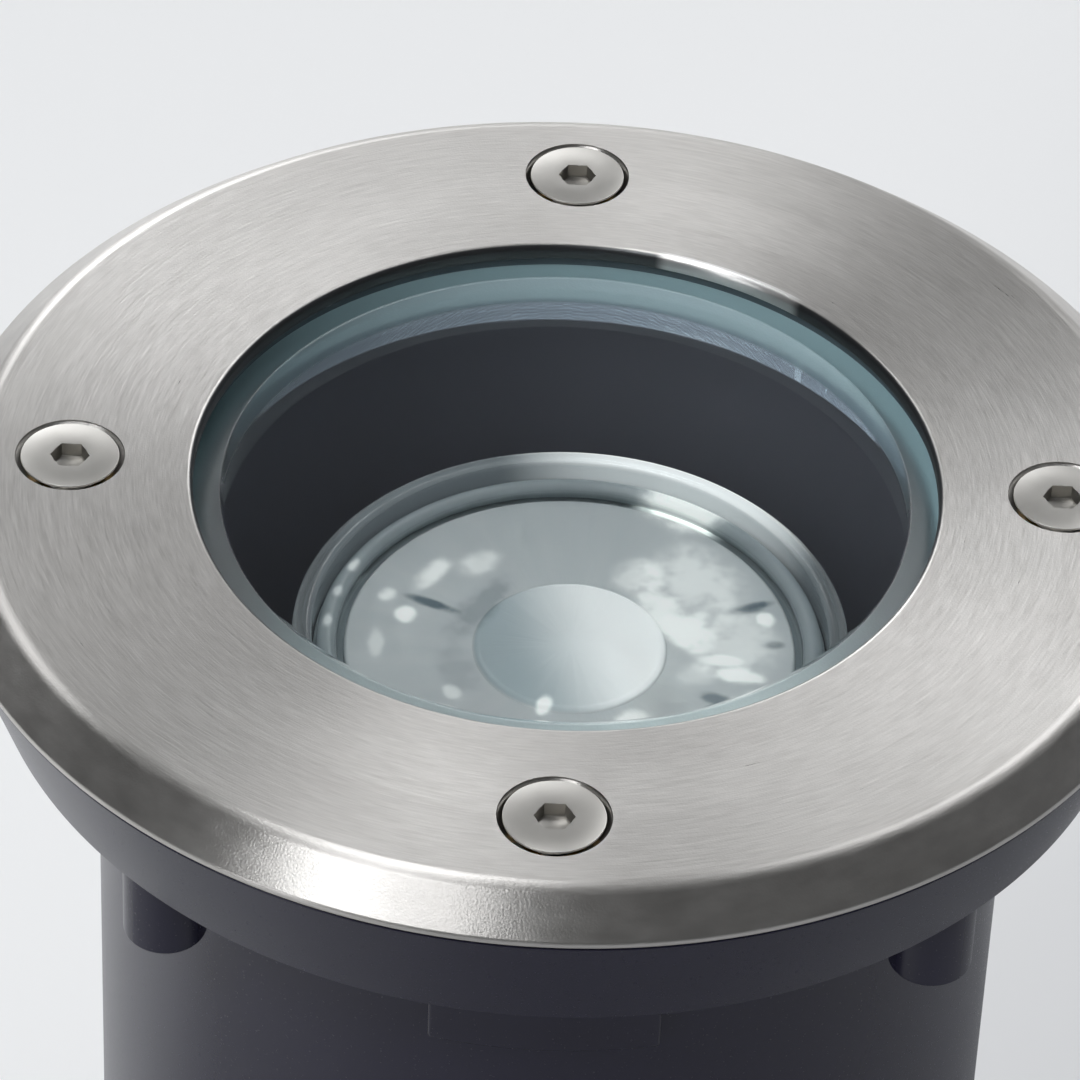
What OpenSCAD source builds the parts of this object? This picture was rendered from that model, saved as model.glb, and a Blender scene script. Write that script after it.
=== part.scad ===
// In ground well light: a steel trim ring clamps thick glass onto a moulded can that holds a
// twist-lock reflector lamp. Z points up, the origin is in the middle of the can's foot, and
// lengths are in millimetres. Sizes build from the window outwards and from the foot upwards.

/* [Trim ring] */
// Diameter of the window
window_d = 65; // [62:0.5:68]
// Thickness of the pressed sheet
sheet_t = 1.5; // [1.2:0.1:2]
// From the middle of a cover screw to the ring's outer edge
screw_edge = 11.75; // [11:0.25:15]
// Width of the sloping rim, seen from above
bevel_w = 3.6; // [3:0.1:5]
// Drop of the sloping rim
bevel_drop = 3.1; // [2.4:0.1:4]
// Height of the upright edge under the sloping rim
edge_h = 0.5; // [0.3:0.1:1]
// Radius of the window's rounded upper edge
roll_r = 0.5; // [0.2:0.1:0.9]

/* [Cover screws] */
// Thread diameter of a cover screw
screw_d = 5; // [4:0.5:5]
// Diameter of its flat head
head_d = 8.6; // [8:0.1:9]
// Height of the head's upright edge above its cone
head_land = 0.15; // [0.1:0.05:0.4]
// Width across the flats of the hexagon socket
socket_af = 3; // [2.5:0.1:4]
// Depth of the socket
socket_depth = 2.2; // [1.5:0.1:3]
// Length from the top of the head to the tip
screw_len = 14; // [13:0.5:16]
// Outer diameter of the threaded insert
insert_d = 7; // [6.2:0.1:7.2]
// Length of the threaded insert
insert_len = 10; // [8:0.5:11]

/* [Glass] */
// Thickness of the glass
glass_t = 6; // [5:0.5:8]
// How far the glass reaches under the trim ring
glass_lap = 3; // [2.6:0.1:4]
// How far the ground bevel reaches into the window
bevel_reach = 2.4; // [1:0.1:4]
// Drop of the ground land at the edge below the face
land_drop = 0.9; // [0.6:0.1:1.5]
// Thickness of the gasket round the edge of the glass
gasket_wall = 1.6; // [1.2:0.1:2.4]
// Thickness of the gasket under the glass
gasket_floor = 1.2; // [0.8:0.1:2]

/* [Housing] */
// Wall between the gasket's recess and the outside of the can
recess_wall = 3.6; // [3.2:0.1:5]
// Wall of the can
can_wall = 2.8; // [2:0.1:3]
// Width of the seat under the gasket
seat_w = 5.2; // [4:0.1:6]
// Height of the ledge that carries the seat
ledge_h = 2.8; // [2:0.1:5]
// Thickness of the flange under the trim ring
flange_t = 3.2; // [2:0.1:5]
// Depth of the skirt's lower edge below the top of the ring
skirt_depth = 16.1; // [12:0.1:18]
// How far the skirt's lower edge stands outside the can
skirt_out = 9.8; // [9.4:0.1:11]
// Wall of the skirt
skirt_wall = 2.2; // [1.6:0.1:3]
// Diameter of the round bosses under the flange
boss_d = 7.2; // [6:0.1:8]
// How far the middle of a boss stands outside the can
boss_out = 5.25; // [4.5:0.05:5.6]
// Depth of a boss's lower end below the top of the ring
boss_depth = 24.7; // [20:0.1:32]
// Diameter of the pilot hole up a boss
pilot_d = 3; // [2.4:0.1:3.6]
// Depth of the pilot hole
pilot_depth = 14; // [10:0.5:16]
// Width of the pad on the can below a cover screw
pad_w = 20; // [12:0.5:24]
// How far the pad stands proud of the can
pad_out = 1.4; // [0.8:0.1:3]
// Depth of the pad's lower end below the top of the ring
pad_depth = 28.3; // [22:0.1:40]
// Height of the standing rim under the floor
stand_h = 31; // [28:1:45]
// Thickness of the floor
floor_t = 3; // [2:0.1:5]
// Width of a cable notch in the standing rim
notch_w = 14; // [8:0.5:20]
// Height of a cable notch
notch_h = 14; // [9:0.5:20]

/* [Lamp] */
// Diameter of the lamp's rim
lamp_d = 49.5; // [48:0.5:51]
// Length of the lamp from its rim to the shoulder of its cap
lamp_len = 52; // [50:0.5:56]
// Depth of the lamp's rim below the top of the ring
lamp_drop = 20.5; // [18:0.5:30]
// How far the lamp and its holder sit off centre, in the play of the bracket
lamp_offset = 1; // [0:0.1:2]
// Wall of the lamp's glass bowl
bowl_wall = 1.6; // [1.2:0.1:2]
// Diameter of the lens inside its bead
lens_d = 39; // [36:0.5:40]
// Diameter of the lens's centre disc
disc_d = 17.4; // [12:0.2:20]
// Height of the lens behind the bead
lens_h = 12; // [9:0.5:14]
// Diameter of the cap
cap_d = 25; // [22:0.5:27]
// Length of the cap
cap_len = 17.5; // [15:0.5:20]
// Distance between the two pins
pin_pitch = 10; // [9.5:0.1:10.5]
// Diameter of a pin's neck
pin_d = 3.2; // [2.8:0.1:3.4]
// Diameter of a pin's head
pin_head_d = 5; // [4.6:0.1:5.2]
// Length of a pin
pin_len = 7; // [6.5:0.1:7.5]
// Height of a pin's head
pin_head_h = 3.4; // [3:0.1:3.6]

/* [Lampholder] */
// Length of the holder
holder_l = 31; // [30:0.5:34]
// Width of the holder
holder_w = 19; // [18:0.5:22]
// Height of the holder
holder_h = 15; // [14:0.5:18]
// Thickness of the ledge that the pins lock under
lock_t = 3; // [2.6:0.1:3.2]
// Turn that locks the lamp, in degrees
twist = 25; // [20:1:30]
// Distance between the two holder screws
holder_pitch = 23; // [22:0.5:24]
// Thread diameter of the holder screws
holder_screw_d = 3; // [2.5:0.5:3.5]
// Thickness of the bracket's strip
strip_t = 1.2; // [1:0.1:1.6]
// Width of the strip
strip_w = 18; // [16:0.5:20]
// Height of the bracket over the floor
bracket_h = 22; // [20:0.5:30]
// Outer width of the bracket's bridge
bridge_w = 46; // [42:0.5:48]
// Length of a bracket's foot
foot_l = 9.5; // [9:0.5:10.5]
// Thread diameter of the bracket's screws
foot_screw_d = 3.5; // [3:0.5:4]

/* [Terminal block] */
// Distance between the two poles
pole_pitch = 10; // [10:0.5:12]
// Length of the block along the wires
block_l = 16; // [15:0.5:18]
// Height of the block
block_h = 14; // [13:0.5:16]
// Distance from the can's axis to the block's near face
block_y = 16; // [15.5:0.5:18]
// Outer diameter of a clamp tube
clamp_d = 5; // [4.6:0.1:5.4]
// Bore of a clamp tube
clamp_bore = 3; // [2.4:0.1:3.2]
// Diameter of a lead, over its insulation
lead_d = 1.8; // [1.4:0.1:2.2]
// Radius of a lead's bend
lead_bend = 6; // [4:0.5:7]

/* [Cable gland] */
// Thread diameter of the gland
gland_d = 16; // [14:0.5:18]
// Width across the flats of the gland's collar and dome nut
gland_af = 21; // [20.5:0.5:24]
// Height of the gland's collar
collar_h = 5; // [3:0.5:7]
// Length of the neck that carries the dome nut
neck_h = 12; // [10:0.5:14]
// Diameter of the neck
neck_d = 15.2; // [14:0.1:16]
// Height of the locknut
locknut_h = 5; // [3:0.5:6]
// Thickness of the sealing washer
washer_t = 1.5; // [1:0.1:2.5]
// Diameter of the cable that the seal takes
cable_d = 6.5; // [5:0.1:8]

/* [Fits] */
// Gap round a cover screw's head
head_gap = 0.45; // [0.35:0.05:0.6]
// Gap round the gasket in its recess
recess_gap = 0.3; // [0.2:0.05:0.5]
// Gap under the slope of the trim ring
slope_gap = 0.4; // [0.3:0.05:0.6]
// Gap between the lamp's shoulder and its holder
seat_gap = 0.3; // [0.2:0.05:0.5]
// Radial play of a turning thread
thread_play = 0.05; // [0.03:0.01:0.08]
// Gap beside and under a pin's head in the holder
pin_gap = 0.3; // [0.2:0.05:0.4]

/* [Hidden] */
$fn = 96;
over = 1;
half = 0.5;
quarter = 90;
full_turn = 360;
roll_steps = 6;
screw_angles = [270, 0, 90, 180];
boss_angles = [45, 135, 225, 315];

// Radii, from the window outwards
window_r = window_d * half;
glass_r = window_r + glass_lap;
land_out = 0.2;
lip_back = 0.4;
gasket_r = glass_r + gasket_wall;
recess_r = gasket_r + recess_gap;
can_r = recess_r + recess_wall;
can_in_r = can_r - can_wall;
mouth_r = recess_r - seat_w;
insert_wall = 2.35;
screw_r = recess_r + insert_wall + insert_d * half;
ring_r = screw_r + screw_edge;
flat_r = ring_r - bevel_w;
bevel_angle = atan(bevel_drop / bevel_w);
slope_run = bevel_w / bevel_drop;
under_flat_r = flat_r - sheet_t * tan(bevel_angle * half);

// Heights, from the foot upwards
floor_z = stand_h + floor_t;
plate_z = floor_z + bracket_h;
holder_z = plate_z + strip_t;
holder_top = holder_z + holder_h;
shoulder_z = holder_top + seat_gap;
rim_z = shoulder_z + lamp_len;
height = rim_z + lamp_drop;
under_z = height - sheet_t;
glass_sink = 0.2;
glass_z = under_z - glass_sink;
land_z = glass_z - land_drop;
glass_under = glass_z - glass_t;
seat_z = glass_under - gasket_floor;
ledge_z = seat_z - ledge_h;
slope_low = height - bevel_drop - edge_h;
skirt_top = slope_low - recess_gap;
skirt_z = height - skirt_depth;
flange_under = under_z - flange_t;

// Cover screw and insert
cone_h = (head_d - screw_d) * half;
insert_sink = 0.6;
insert_top = under_z - insert_sink;
insert_groove = 0.5;
tip_room = 1.5;
boss_floor = 1.5;
screw_hole_z = height - screw_len - tip_room;
insert_boss_z = screw_hole_z - boss_floor;
insert_boss_wall = 1.5;
tip_chamfer = 0.6;
drill_share = 0.88;
groove_share = 0.4;

// Small edges and webs of the housing
edge_cut = 0.5;
web_share = 0.72;
skirt_in = 0.2;
post_h = 4;
post_wall = 2.25;
block_post_h = 2;

// Lamp
lamp_r = lamp_d * half;
neck_z = shoulder_z + cap_len;
rim_h = 4;
bead_d = 2.4;
bead_gap = 0.9;
lens_flange = 1.4;
lens_sink = 2.2;
disc_rise = 0.5;
dish = 0.8;
lens_low_share = 0.5;
pocket_share = 0.62;
lens_r = lens_d * half;
bead_r = lens_r + bead_gap + bead_d * half;
lens_edge_r = bead_r + bead_d * half + land_out;
lens_z = rim_z - lens_sink;
lens_seat_z = lens_z - lens_flange;
lens_low_z = lens_seat_z - lens_h;
board_t = 1.6;
board_z = lens_low_z - board_t;
bowl_floor = 2;
neck_r = cap_d * half + edge_cut;
bowl_steps = 12;
bowl_curve = 1.6;
cap_taper = 1.5;
cap_flat_share = 0.86;
post_gap = 1;

// Lampholder
pin_r = pin_pitch * half;
cavity_h = 8;
cavity_z = holder_top - lock_t - cavity_h;
slot_half = pin_d * half + pin_gap;
head_half = pin_head_d * half + pin_gap;
contact_t = 0.4;
contact_w = 3.2;
contact_reach = 2.1;
contact_top = shoulder_z - pin_len - pin_gap;
lead_gap = 0.35;
lead_hole_d = lead_d + 2 * lead_gap;
bend_r = 1.5;
foot_z = floor_z + post_h;
bracket_slot = 2.4;
foot_screw_x = bridge_w * half + foot_l * half;
foot_head_d = 6.4;
foot_head_h = 2.3;
holder_head_d = 5.6;
holder_head_drop = 0.4;
holder_tail = 2.5;
slot_share = 0.125;

// Terminal block
block_z = floor_z + block_post_h;
block_side = 5;
block_w = pole_pitch + 2 * block_side;
bore_z = block_z + block_h * half;
tower_d = 7;
tower_h = 2.5;
clamp_screw_d = 2.5;
clamp_screw_l = 5.5;
clamp_share = 0.27;
block_screw_d = 3;
block_screw_head = 5.4;
block_screw_sink = 3;
lead_end = 5;

// Cable gland
locknut_rim = 0.5;
collar_z = stand_h - washer_t;
neck_z0 = collar_z - collar_h;
neck_low = neck_z0 - neck_h;
stub_top = floor_z + locknut_h + tip_room;
gland_bore = 9.2;
seal_d = 11.8;
seal_h = 9;
finger_h = 4;
finger_count = 8;
finger_slot = 1;
finger_taper = 0.8;
taper_h = 3;
dome_gap = 0.3;
nut_z1 = neck_z0 - dome_gap;
dome_top = 2;
nut_low = neck_low - dome_top;
nut_mouth_d = 8.4;
dome_h = 6;
dome_in = 1;
washer_d = 21;
locknut_af = gland_af + 2 * locknut_rim;
hole_gap = 0.2;

// Places its children at a cover screw, with X pointing outwards
module at_screw(angle) {
    rotate([0, 0, angle]) translate([screw_r, 0, 0]) children();
}

// A hexagon prism measured across its flats, with a corner towards X
module hexagon(af, h) {
    cylinder(d = af / cos(30), h = h, $fn = 6);
}

// A countersunk screw hanging down from z 0, with its head's top there
module countersunk(d, head, land, l, chamfer) {
    cone = (head - d) * half;
    rotate_extrude() polygon([
        [0, 0], [head * half, 0], [head * half, -land], [d * half, -land - cone],
        [d * half, chamfer - l], [d * half - chamfer, -l], [0, -l]
    ]);
}

// A pan head screw with the underside of its head at z 0
module pan_screw(d, head, head_h, l) {
    rotate_extrude() polygon([
        [0, head_h], [head * half - edge_cut, head_h], [head * half, head_h - edge_cut],
        [head * half, 0], [d * half, 0], [d * half, -l], [0, -l]
    ]);
}

// A groove along an arc about the axis, with round ends
module arc_slot(r, half_w, a0, a1, h) {
    rotate([0, 0, a0]) rotate_extrude(angle = a1 - a0)
        translate([r - half_w, 0]) square([2 * half_w, h]);
    for (a = [a0, a1])
        rotate([0, 0, a]) translate([r, 0, 0]) cylinder(r = half_w, h = h);
}

// Pressed ring with a sloping rim, a window rounded by the punch and four countersunk holes
module trim_ring() {
    hole_r = head_d * half + head_gap;
    roll = [for (i = [0:roll_steps]) let (a = quarter * i / roll_steps)
        [window_r + roll_r * (1 - sin(a)), height - roll_r * (1 - cos(a))]];
    color("#b9b4ad") difference() {
        rotate_extrude() polygon(concat([
            [window_r, under_z], [under_flat_r, under_z],
            [under_flat_r + (under_z - slope_low) * slope_run, slope_low],
            [ring_r, slope_low], [ring_r, slope_low + edge_h], [flat_r, height]
        ], roll));
        for (angle = screw_angles) at_screw(angle) {
            translate([0, 0, height - head_land]) cylinder(r = hole_r, h = over);
            translate([0, 0, under_z])
                cylinder(r1 = hole_r - sheet_t + head_land, r2 = hole_r, h = sheet_t - head_land);
            translate([0, 0, under_z - over]) cylinder(r = hole_r - sheet_t + head_land, h = 2 * over);
        }
    }
}

// One cover screw: flat countersunk head with a hexagon socket
module cover_screw(angle) {
    drill_r = socket_af * half * drill_share;
    drill_h = drill_r * half;
    color("#c9c7c2") at_screw(angle) difference() {
        translate([0, 0, height]) countersunk(screw_d, head_d, head_land, screw_len, tip_chamfer);
        translate([0, 0, height - socket_depth]) rotate([0, 0, 30 - angle])
            hexagon(socket_af, socket_depth + over);
        translate([0, 0, height - socket_depth - drill_h])
            cylinder(r1 = 0, r2 = drill_r, h = drill_h);
    }
}
module cover_screw_front() { cover_screw(screw_angles[0]); }
module cover_screw_right() { cover_screw(screw_angles[1]); }
module cover_screw_back() { cover_screw(screw_angles[2]); }
module cover_screw_left() { cover_screw(screw_angles[3]); }

// Brass inserts moulded into the housing, grooved so that they can't pull out
module screw_inserts() {
    insert_r = insert_d * half;
    bore_r = screw_d * half + thread_play;
    groove_low = insert_len * groove_share;
    groove_top = insert_len * (1 - groove_share);
    color("#b5893f") for (angle = screw_angles) at_screw(angle)
        translate([0, 0, insert_top - insert_len]) rotate_extrude() polygon([
            [bore_r, 0], [insert_r, 0], [insert_r, groove_low],
            [insert_r - insert_groove, groove_low + insert_groove],
            [insert_r - insert_groove, groove_top - insert_groove],
            [insert_r, groove_top], [insert_r, insert_len], [bore_r, insert_len]
        ]);
}

// Thick glass with a ground bevel that steps down to a land under the ring
module glass_disc() {
    color("#a9c4bd", 0.4) rotate_extrude() polygon([
        [0, glass_z], [window_r - bevel_reach, glass_z], [window_r + land_out, land_z],
        [glass_r, land_z], [glass_r, glass_under + edge_cut],
        [glass_r - edge_cut, glass_under], [0, glass_under]
    ]);
}

// Soft gasket that wraps the edge of the glass
module glass_gasket() {
    lip_r = window_r + lip_back;
    color("#a9b8be") rotate_extrude() polygon([
        [lip_r, land_z], [glass_r, land_z], [glass_r, glass_under + edge_cut],
        [glass_r - edge_cut, glass_under], [lip_r, glass_under], [lip_r, seat_z],
        [gasket_r, seat_z], [gasket_r, under_z], [lip_r, under_z]
    ]);
}

// Section of the can, its floor, the glass seat and the flange skirt
module housing_section() {
    shoulder_r = under_flat_r - slope_gap;
    gland_hole_r = gland_d * half + hole_gap;
    skirt_r = can_r + skirt_out;
    polygon([
        [recess_r, under_z], [shoulder_r, under_z],
        [shoulder_r + (under_z - skirt_top) * slope_run, skirt_top],
        [ring_r - skirt_in, skirt_top], [skirt_r, skirt_z + edge_cut],
        [skirt_r - edge_cut, skirt_z], [skirt_r - skirt_wall + edge_cut, skirt_z],
        [skirt_r - skirt_wall, skirt_z + edge_cut],
        [ring_r - skirt_in - skirt_wall, flange_under], [can_r, flange_under],
        [can_r, edge_cut], [can_r - edge_cut, 0], [can_in_r, 0], [can_in_r, stand_h],
        [gland_hole_r, stand_h], [gland_hole_r, floor_z], [can_in_r, floor_z],
        [can_in_r, ledge_z], [mouth_r, ledge_z], [mouth_r, seat_z], [recess_r, seat_z]
    ]);
}

// Moulded can with everything that is moulded onto it
module housing() {
    insert_boss_r = insert_d * half + insert_boss_wall;
    block_mid = block_y + block_l * half;
    color("#3c3d46") difference() {
        union() {
            rotate_extrude() housing_section();
            for (angle = screw_angles) {
                at_screw(angle) translate([0, 0, insert_boss_z])
                    cylinder(r = insert_boss_r, h = flange_under + over * half - insert_boss_z);
                rotate([0, 0, angle]) screw_pad();
            }
            for (angle = boss_angles) rotate([0, 0, angle]) hanging_boss();
            for (side = [-1, 1]) translate([side * foot_screw_x, 0, floor_z - edge_cut])
                cylinder(r = foot_screw_d * half + post_wall, h = post_h + edge_cut);
            translate([lamp_offset, -block_mid, floor_z - edge_cut])
                cylinder(r = block_screw_d * half + post_wall, h = block_post_h + edge_cut);
        }
        for (angle = screw_angles) at_screw(angle) {
            translate([0, 0, insert_top - insert_len]) cylinder(d = insert_d, h = insert_len + over + sheet_t);
            translate([0, 0, screw_hole_z]) cylinder(d = screw_d + pin_gap, h = screw_len);
        }
        for (angle = boss_angles) rotate([0, 0, angle])
            translate([can_r + boss_out, 0, height - boss_depth - over])
                cylinder(d = pilot_d, h = pilot_depth + over);
        for (side = [-1, 1]) translate([side * foot_screw_x, 0, floor_z - floor_t * half])
            cylinder(d = foot_screw_d, h = post_h + floor_t);
        translate([lamp_offset, -block_mid, floor_z - floor_t * half])
            cylinder(d = block_screw_d, h = block_post_h + floor_t);
        cable_notches();
    }
}

// Flat pad proud of the can below a cover screw
module screw_pad() {
    intersection() {
        translate([0, 0, height - pad_depth])
            cylinder(r = can_r + pad_out, h = pad_depth - sheet_t - flange_t + over * half);
        translate([can_r - can_wall * half, -pad_w * half, 0])
            cube([can_wall + pad_out, pad_w, height]);
        difference() {
            cylinder(r = can_r + 2 * pad_out, h = height);
            cylinder(r = can_r - can_wall * half, h = height);
        }
    }
}

// Round boss under the flange, tied to the can by a web
module hanging_boss() {
    boss_z = height - boss_depth;
    boss_h = flange_under + over * half - boss_z;
    translate([can_r + boss_out, 0, boss_z]) cylinder(d = boss_d, h = boss_h);
    translate([can_r - can_wall * half, -boss_d * web_share * half, boss_z])
        cube([boss_out + can_wall * half, boss_d * web_share, boss_h]);
}

// Arched openings in the standing rim that let the cable out sideways
module cable_notches() {
    arch_r = notch_w * half;
    for (side = [-1, 1]) {
        translate([side * can_r, 0, notch_h - arch_r]) rotate([0, quarter, 0])
            cylinder(r = arch_r, h = 4 * can_wall, center = true);
        translate([side * can_r - 2 * can_wall, -arch_r, -over])
            cube([4 * can_wall, notch_w, notch_h - arch_r + over]);
    }
}

// Radius of the lamp's bowl at a share of its height
function bowl_r(share) = neck_r + (lamp_r - neck_r) * (1 - pow(1 - share, bowl_curve));

// Clear glass bowl, open at the top and thickened at the rim
module lamp_bowl() {
    bowl_h = rim_z - rim_h - neck_z;
    outer = [for (i = [0:bowl_steps])
        [bowl_r(i / bowl_steps), neck_z + bowl_h * i / bowl_steps]];
    inner = [for (i = [bowl_steps:-1:1])
        let (z = neck_z + bowl_h * i / bowl_steps)
        if (z < lens_seat_z - bowl_floor && z > neck_z + bowl_floor)
            [bowl_r(i / bowl_steps) - bowl_wall, z]];
    color("#cfd6d6", 0.5) translate([lamp_offset, 0, 0]) rotate_extrude() polygon(concat(
        outer,
        [[lamp_r, rim_z - edge_cut], [lamp_r - edge_cut, rim_z], [lens_edge_r, rim_z],
         [lens_edge_r, lens_seat_z], [lens_r, lens_seat_z],
         [lens_r, lens_seat_z - bowl_floor]],
        inner,
        [[neck_r - bowl_wall, neck_z + bowl_floor], [0, neck_z + bowl_floor], [0, neck_z]]
    ));
}

// Lens with a round bead at its edge and a raised disc in the middle
module lamp_lens() {
    disc_r = disc_d * half;
    low_r = lens_r * lens_low_share;
    pocket_r = low_r * pocket_share;
    color("#dfe6e6", 0.6) translate([lamp_offset, 0, 0]) union() {
        rotate_extrude() polygon([
            [0, lens_z + disc_rise], [disc_r - disc_rise, lens_z + disc_rise],
            [disc_r, lens_z - dish], [lens_r - dish, lens_z], [lens_edge_r, lens_z],
            [lens_edge_r, lens_seat_z], [lens_r - dish, lens_seat_z], [low_r, lens_low_z],
            [pocket_r, lens_low_z], [pocket_r, lens_low_z + pocket_r], [0, lens_low_z + pocket_r]
        ]);
        rotate_extrude() translate([bead_r, lens_z]) circle(d = bead_d);
    }
}

// Round circuit board with its domed light source in the lens's pocket
module lamp_led_board() {
    board_r = lens_r * lens_low_share;
    chip_r = board_r * pocket_share * half;
    color("#e9e2b0") translate([lamp_offset, 0, board_z]) {
        cylinder(r = board_r, h = board_t);
        rotate_extrude() intersection() {
            translate([0, board_t]) circle(r = chip_r);
            translate([0, board_t - edge_cut]) square([chip_r + over, chip_r + over]);
        }
    }
}

// Metal post that carries the board and takes its heat to the cap
module lamp_heatsink() {
    low = neck_z + bowl_floor;
    top_r = lens_r * lens_low_share;
    post_r = neck_r - bowl_wall - post_gap;
    color("#a8abad") translate([lamp_offset, 0, 0]) rotate_extrude() polygon([
        [0, low], [post_r, low], [post_r, low + 2 * bowl_floor],
        [top_r * pocket_share, low + 3 * bowl_floor], [top_r * pocket_share, board_z - bowl_floor],
        [top_r, board_z - edge_cut], [top_r, board_z], [0, board_z]
    ]);
}

// Cap of the lamp, with two flats like every twist-lock cap of this size
module lamp_cap() {
    cap_r = cap_d * half;
    color("#e7e5df") translate([lamp_offset, 0, 0]) intersection() {
        rotate_extrude() polygon([
            [0, shoulder_z], [cap_r - cap_taper - edge_cut, shoulder_z],
            [cap_r - cap_taper, shoulder_z + edge_cut], [cap_r, neck_z - 2 * cap_taper],
            [cap_r, neck_z], [0, neck_z]
        ]);
        translate([-cap_d, -cap_r * cap_flat_share, shoulder_z])
            cube([2 * cap_d, cap_d * cap_flat_share, cap_len]);
    }
}

// Two headed pins under the cap
module lamp_pins() {
    head_z = pin_len - pin_head_h;
    color("#c4c2bb") for (side = [-1, 1])
        translate([lamp_offset + side * pin_r, 0, shoulder_z]) rotate_extrude() polygon([
            [0, 0], [pin_d * half, 0], [pin_d * half, -head_z], [pin_head_d * half, -head_z],
            [pin_head_d * half, edge_cut - pin_len], [pin_head_d * half - edge_cut, -pin_len],
            [0, -pin_len]
        ]);
}

// Ceramic holder: a keyhole and a curved slot for each pin, and a cavity below for its head
module lampholder() {
    color("#eeece6") translate([lamp_offset, 0, 0]) difference() {
        translate([0, 0, holder_z]) linear_extrude(holder_h) intersection() {
            circle(d = holder_l);
            square([holder_l, holder_w], center = true);
        }
        for (turn = [0, 180]) rotate([0, 0, turn]) {
            translate([0, 0, holder_top - lock_t - edge_cut])
                arc_slot(pin_r, slot_half, 0, twist, lock_t + edge_cut + over);
            translate([0, 0, cavity_z]) arc_slot(pin_r, head_half, 0, twist, cavity_h);
            rotate([0, 0, twist]) translate([pin_r, 0, cavity_z])
                cylinder(r = head_half, h = holder_h);
            translate([pin_r, 0, holder_z - over]) cylinder(d = lead_hole_d, h = holder_h * half);
            translate([holder_pitch * half, 0, holder_top - holder_head_drop]) {
                translate([0, 0, -holder_h]) cylinder(d = holder_screw_d, h = holder_h);
                translate([0, 0, -(holder_head_d - holder_screw_d) * half])
                    cylinder(d1 = holder_screw_d, d2 = holder_head_d,
                        h = (holder_head_d - holder_screw_d) * half);
                cylinder(d = holder_head_d, h = over);
            }
        }
    }
}

// Two spring strips in the holder that press on the pins from below
module holder_contacts() {
    color("#c39a52") for (side = [-1, 1])
        translate([lamp_offset + side * pin_r + contact_w * half, 0, 0])
            rotate([quarter, 0, -quarter]) linear_extrude(contact_w) polygon([
                [-contact_reach, cavity_z], [contact_reach, cavity_z],
                [contact_reach, cavity_z + contact_t],
                [contact_t - contact_reach, cavity_z + contact_t],
                [contact_t - contact_reach, contact_top - contact_t],
                [contact_reach, contact_top - contact_t], [contact_reach, contact_top],
                [-contact_reach, contact_top]
            ]);
}

// A quarter bend of the strip about the origin, from its outer face at +X to that at +Y
module strip_bend() {
    intersection() {
        difference() {
            circle(r = bend_r + strip_t);
            circle(r = bend_r);
        }
        square(bend_r + strip_t);
    }
}

// Half of the bridge's side view: top, leg and foot joined by two bends
module bracket_half() {
    leg_x = bridge_w * half;
    bend = bend_r + strip_t;
    translate([0, plate_z]) square([leg_x - bend, strip_t]);
    translate([leg_x - bend, plate_z + strip_t - bend]) strip_bend();
    translate([leg_x - strip_t, foot_z + bend]) square([strip_t, plate_z + strip_t - foot_z - 2 * bend]);
    translate([leg_x + bend_r, foot_z + bend]) rotate(180) strip_bend();
    translate([leg_x + bend_r, foot_z]) square([foot_l - bend_r, strip_t]);
}

// Bent steel bridge that carries the lampholder over the floor
module holder_bracket() {
    color("#a9a9a6") difference() {
        translate([0, strip_w * half, 0]) rotate([quarter, 0, 0]) linear_extrude(strip_w) {
            bracket_half();
            mirror([1, 0]) bracket_half();
        }
        for (side = [-1, 1]) {
            translate([side * foot_screw_x, 0, foot_z - over])
                cylinder(d = foot_screw_d, h = strip_t + 2 * over);
            translate([lamp_offset + side * pin_r, 0, plate_z - over])
                cylinder(d = lead_hole_d + edge_cut, h = strip_t + 2 * over);
            translate([lamp_offset + side * holder_pitch * half, 0, plate_z - over])
                cylinder(d = holder_screw_d, h = strip_t + 2 * over);
        }
    }
}

// Two countersunk screws that hold the lampholder to the bridge
module holder_screws() {
    color("#c9c7c2") for (side = [-1, 1])
        translate([lamp_offset + side * holder_pitch * half, 0, holder_top - holder_head_drop])
            difference() {
                countersunk(holder_screw_d, holder_head_d, 0,
                    holder_h - holder_head_drop + strip_t + holder_tail, edge_cut);
                cross_slot(holder_head_d);
            }
}

// A straight driver slot across the top of a screw head
module cross_slot(head) {
    depth = head * slot_share;
    translate([-head, -depth * half, -depth]) cube([2 * head, depth, depth + over]);
}

// Two pan head screws through the feet of the bridge
module bracket_screws() {
    color("#c9c7c2") for (side = [-1, 1])
        translate([side * foot_screw_x, 0, foot_z + strip_t]) difference() {
            pan_screw(foot_screw_d, foot_head_d, foot_head_h, strip_t + post_h + floor_t * half);
            translate([0, 0, foot_head_h]) cross_slot(foot_head_d);
        }
}

// Places its children at each of the two poles
module at_poles() {
    for (side = [-1, 1])
        translate([lamp_offset + side * pole_pitch * half, -block_y, 0]) children();
}

// Distances of the two clamp screws from the block's near face
function clamp_steps() = [block_l * clamp_share, block_l * (1 - clamp_share)];

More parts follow.
